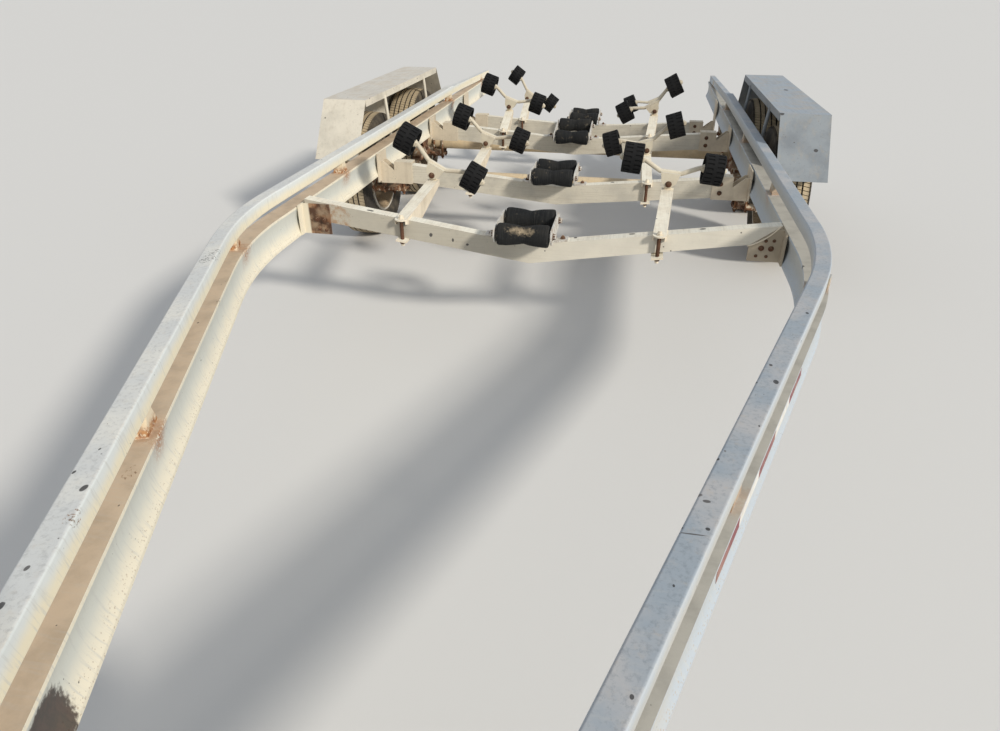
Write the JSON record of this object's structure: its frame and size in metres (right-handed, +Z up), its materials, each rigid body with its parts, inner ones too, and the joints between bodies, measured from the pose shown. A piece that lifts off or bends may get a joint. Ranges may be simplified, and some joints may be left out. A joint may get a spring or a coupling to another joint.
{
  "type": "boat trailer",
  "caption": "Boat trailer with bent two-tier rails, rocking side rollers, hourglass keel rollers, tandem wheels under flat-topped fenders, tongue, winch post and jack.",
  "frame": {"origin": "on the floor, at the middle of the bounding box", "axes": "+Z up, +Y towards the tail, -Y towards the coupler, +X to the right when looking at the tail"},
  "size_m": [2.5, 7.75, 1.2165],
  "materials": {
    "frame_paint": "weathered satin",
    "fender_paint": "weathered satin",
    "galvanised": "dull galvanised",
    "rusty_steel": "rusty",
    "rim_paint": "dusty satin",
    "tyre": "dusty rubber",
    "roller_rubber": "matt rubber",
    "worn_rubber": "worn matt rubber"
  },
  "bodies": {
    "frame": {"lower_rail_left": "frame_paint", "upper_rail_left": "frame_paint", "lower_rail_right": "frame_paint", "upper_rail_right": "frame_paint", "crossmember_front": "frame_paint", "crossmember_second": "frame_paint", "crossmember_third": "frame_paint", "crossmember_rear": "frame_paint", "rail_brackets": "frame_paint", "keel_cradles": "galvanised", "side_arms": "frame_paint", "axle_front": "galvanised", "axle_rear": "galvanised", "leaf_springs_left": "rusty_steel", "fender_left": "fender_paint", "leaf_springs_right": "rusty_steel", "fender_right": "fender_paint", "tongue": "frame_paint", "coupler": "galvanised", "winch_post": "frame_paint", "winch": "galvanised", "jack_tube": "galvanised"},
    "wheel_front_left": {"wheel_front_left": "rim_paint", "tyre_front_left": "tyre"},
    "wheel_front_right": {"wheel_front_right": "rim_paint", "tyre_front_right": "tyre"},
    "wheel_rear_left": {"wheel_rear_left": "rim_paint", "tyre_rear_left": "tyre"},
    "wheel_rear_right": {"wheel_rear_right": "rim_paint", "tyre_rear_right": "tyre"},
    "rocker_front_left": {"rocker_front_left": "galvanised", "side_rollers_front_left": "roller_rubber"},
    "rocker_front_right": {"rocker_front_right": "galvanised", "side_rollers_front_right": "roller_rubber"},
    "rocker_second_left": {"rocker_second_left": "galvanised", "side_rollers_second_left": "roller_rubber"},
    "rocker_second_right": {"rocker_second_right": "galvanised", "side_rollers_second_right": "roller_rubber"},
    "rocker_third_left": {"rocker_third_left": "galvanised", "side_rollers_third_left": "roller_rubber"},
    "rocker_third_right": {"rocker_third_right": "galvanised", "side_rollers_third_right": "roller_rubber"},
    "rocker_rear_left": {"rocker_rear_left": "galvanised", "side_rollers_rear_left": "roller_rubber"},
    "rocker_rear_right": {"rocker_rear_right": "galvanised", "side_rollers_rear_right": "roller_rubber"},
    "keel_roller_front_a": {"keel_roller_front_a": "worn_rubber"},
    "keel_roller_front_b": {"keel_roller_front_b": "worn_rubber"},
    "keel_roller_second_a": {"keel_roller_second_a": "worn_rubber"},
    "keel_roller_second_b": {"keel_roller_second_b": "worn_rubber"},
    "keel_roller_third_a": {"keel_roller_third_a": "worn_rubber"},
    "keel_roller_third_b": {"keel_roller_third_b": "worn_rubber"},
    "keel_roller_rear_a": {"keel_roller_rear_a": "worn_rubber"},
    "keel_roller_rear_b": {"keel_roller_rear_b": "worn_rubber"},
    "bow_roller": {"bow_roller": "worn_rubber"},
    "jack_leg": {"jack_leg": "galvanised"}
  },
  "joints": [
    {"name": "wheel_front_left_spin", "type": "hinge", "parent": "frame", "child": "wheel_front_left", "pos_m": [-1.135, 1.365, 0.34], "axis": [1, 0, 0], "continuous": true},
    {"name": "wheel_front_right_spin", "type": "hinge", "parent": "frame", "child": "wheel_front_right", "pos_m": [1.135, 1.365, 0.34], "axis": [1, 0, 0], "continuous": true},
    {"name": "wheel_rear_left_spin", "type": "hinge", "parent": "frame", "child": "wheel_rear_left", "pos_m": [-1.135, 2.245, 0.34], "axis": [1, 0, 0], "continuous": true},
    {"name": "wheel_rear_right_spin", "type": "hinge", "parent": "frame", "child": "wheel_rear_right", "pos_m": [1.135, 2.245, 0.34], "axis": [1, 0, 0], "continuous": true},
    {"name": "rocker_front_left_tilt", "type": "hinge", "parent": "frame", "child": "rocker_front_left", "pos_m": [-0.519, 0.545, 0.571], "axis": [0, 1, 0], "range_deg": [-66, 10]},
    {"name": "rocker_front_right_tilt", "type": "hinge", "parent": "frame", "child": "rocker_front_right", "pos_m": [0.519, 0.545, 0.583], "axis": [0, -1, 0], "range_deg": [-32, 44]},
    {"name": "rocker_second_left_tilt", "type": "hinge", "parent": "frame", "child": "rocker_second_left", "pos_m": [-0.443, 1.375, 0.538], "axis": [0, 1, 0], "range_deg": [-58, 18]},
    {"name": "rocker_second_right_tilt", "type": "hinge", "parent": "frame", "child": "rocker_second_right", "pos_m": [0.432, 1.375, 0.536], "axis": [0, -1, 0], "range_deg": [-56, 20]},
    {"name": "rocker_third_left_tilt", "type": "hinge", "parent": "frame", "child": "rocker_third_left", "pos_m": [-0.473, 2.285, 0.582], "axis": [0, 1, 0], "range_deg": [-57, 19]},
    {"name": "rocker_third_right_tilt", "type": "hinge", "parent": "frame", "child": "rocker_third_right", "pos_m": [0.473, 2.285, 0.582], "axis": [0, -1, 0], "range_deg": [-68, 8]},
    {"name": "rocker_rear_left_tilt", "type": "hinge", "parent": "frame", "child": "rocker_rear_left", "pos_m": [-0.5, 3.275, 0.484], "axis": [0, 1, 0], "range_deg": [-74, 2]},
    {"name": "rocker_rear_right_tilt", "type": "hinge", "parent": "frame", "child": "rocker_rear_right", "pos_m": [0.5, 3.275, 0.454], "axis": [0, -1, 0], "range_deg": [-62, 14]},
    {"name": "keel_roller_front_a_spin", "type": "hinge", "parent": "frame", "child": "keel_roller_front_a", "pos_m": [-0.014, -0.043, 0.518], "axis": [1, 0, 0], "continuous": true},
    {"name": "keel_roller_front_b_spin", "type": "hinge", "parent": "frame", "child": "keel_roller_front_b", "pos_m": [-0.014, 0.153, 0.518], "axis": [1, 0, 0], "continuous": true},
    {"name": "keel_roller_second_a_spin", "type": "hinge", "parent": "frame", "child": "keel_roller_second_a", "pos_m": [-0.014, 0.882, 0.493], "axis": [1, 0, 0], "continuous": true},
    {"name": "keel_roller_second_b_spin", "type": "hinge", "parent": "frame", "child": "keel_roller_second_b", "pos_m": [-0.014, 1.078, 0.493], "axis": [1, 0, 0], "continuous": true},
    {"name": "keel_roller_third_a_spin", "type": "hinge", "parent": "frame", "child": "keel_roller_third_a", "pos_m": [-0.014, 1.872, 0.483], "axis": [1, 0, 0], "continuous": true},
    {"name": "keel_roller_third_b_spin", "type": "hinge", "parent": "frame", "child": "keel_roller_third_b", "pos_m": [-0.014, 2.068, 0.517], "axis": [1, 0, 0], "continuous": true},
    {"name": "keel_roller_rear_a_spin", "type": "hinge", "parent": "frame", "child": "keel_roller_rear_a", "pos_m": [-0.014, 2.822, 0.424], "axis": [1, 0, 0], "continuous": true},
    {"name": "keel_roller_rear_b_spin", "type": "hinge", "parent": "frame", "child": "keel_roller_rear_b", "pos_m": [-0.014, 3.018, 0.424], "axis": [1, 0, 0], "continuous": true},
    {"name": "bow_roller_spin", "type": "hinge", "parent": "frame", "child": "bow_roller", "pos_m": [0, -2.345, 1.011], "axis": [1, 0, 0], "continuous": true},
    {"name": "jack_leg_slide", "type": "slide", "parent": "frame", "child": "jack_leg", "axis": [0, 0, 1], "range_m": [-0.08, 0.25]}
  ]
}
